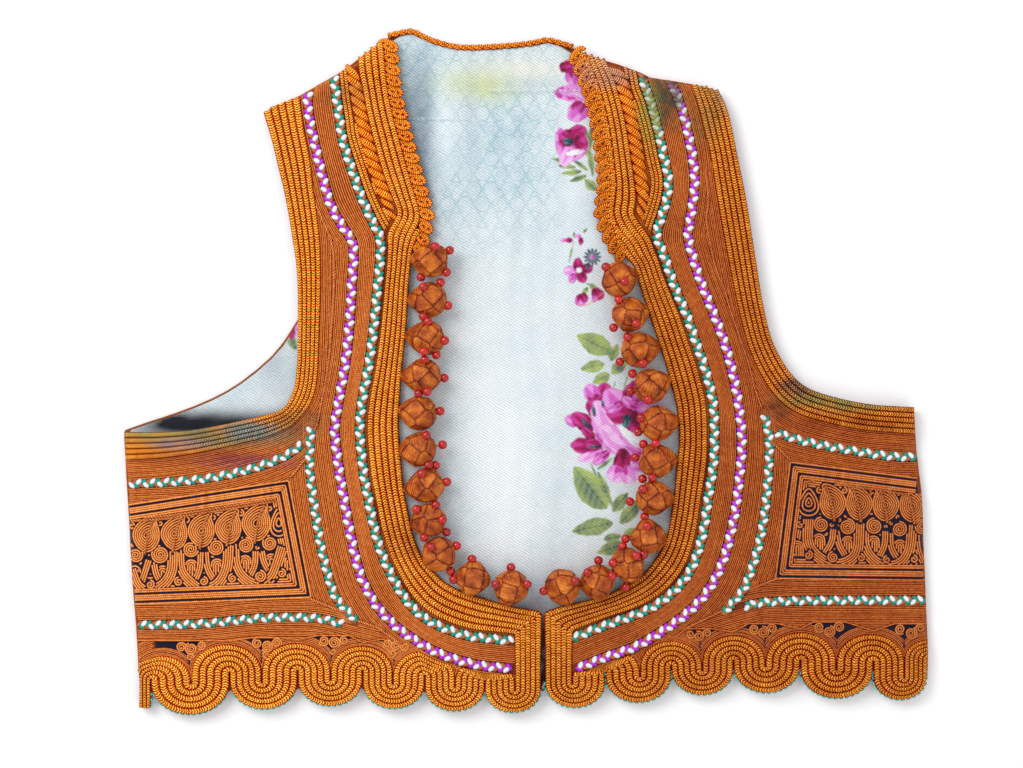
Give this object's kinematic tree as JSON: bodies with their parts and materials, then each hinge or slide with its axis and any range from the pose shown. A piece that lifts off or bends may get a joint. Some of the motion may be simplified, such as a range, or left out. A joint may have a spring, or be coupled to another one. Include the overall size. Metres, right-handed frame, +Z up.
{
  "type": "embroidered folk vest",
  "caption": "Short sleeveless folk vest laid flat, its open fronts covered in couched cords and braids, with scalloped hem, looped neck edge, knotted balls and printed lining.",
  "frame": {"origin": "centre of the footprint, on the surface that the vest lies on", "axes": "+X towards the wearer's left, +Y towards the neck, +Z up from the surface"},
  "size_m": [0.4428, 0.377, 0.0217],
  "materials": {
    "back_cloth": "corded wool cloth, matte",
    "lining_print": "pale blue-white cotton twill, printed, matte",
    "gold_cord": "thick twisted cord, soft sheen",
    "copper_cord": "fine cord laid side by side, matte",
    "green_braid": "three-strand braid, soft sheen",
    "violet_braid": "three-strand braid, soft sheen",
    "embroidery": "fine cord couched on navy cloth, matte",
    "knot_cord": "tightly wound cord, soft sheen",
    "hook_metal": "dark wire"
  },
  "bodies": {
    "root": {"back_cloth": "back_cloth", "back_lining": "lining_print", "back_neck_cord": "gold_cord", "front_hook": "hook_metal", "right_front_cloth": "copper_cord", "right_edge_and_hem_cords": "gold_cord", "right_armhole_cords": "gold_cord", "right_neck_loops": "gold_cord", "right_neck_rope": "gold_cord", "right_green_braid": "green_braid", "right_violet_braid": "violet_braid", "right_side_upper_braid": "green_braid", "right_side_front_braid": "green_braid", "right_side_lower_braid": "green_braid", "right_side_embroidery": "embroidery", "right_knot_1": "knot_cord", "right_knot_2": "knot_cord", "right_knot_3": "knot_cord", "right_knot_4": "knot_cord", "right_knot_5": "knot_cord", "right_knot_6": "knot_cord", "right_knot_7": "knot_cord", "right_knot_8": "knot_cord", "right_knot_9": "knot_cord", "right_knot_10": "knot_cord", "right_knot_11": "knot_cord", "left_front_cloth": "copper_cord", "left_edge_and_hem_cords": "gold_cord", "left_armhole_cords": "gold_cord", "left_neck_loops": "gold_cord", "left_neck_rope": "gold_cord", "left_green_braid": "green_braid", "left_violet_braid": "violet_braid", "left_side_upper_braid": "green_braid", "left_side_front_braid": "green_braid", "left_side_lower_braid": "green_braid", "left_side_embroidery": "embroidery", "left_knot_1": "knot_cord", "left_knot_2": "knot_cord", "left_knot_3": "knot_cord", "left_knot_4": "knot_cord", "left_knot_5": "knot_cord", "left_knot_6": "knot_cord", "left_knot_7": "knot_cord", "left_knot_8": "knot_cord", "left_knot_9": "knot_cord", "left_knot_10": "knot_cord", "left_knot_11": "knot_cord"}
  },
  "joints": []
}
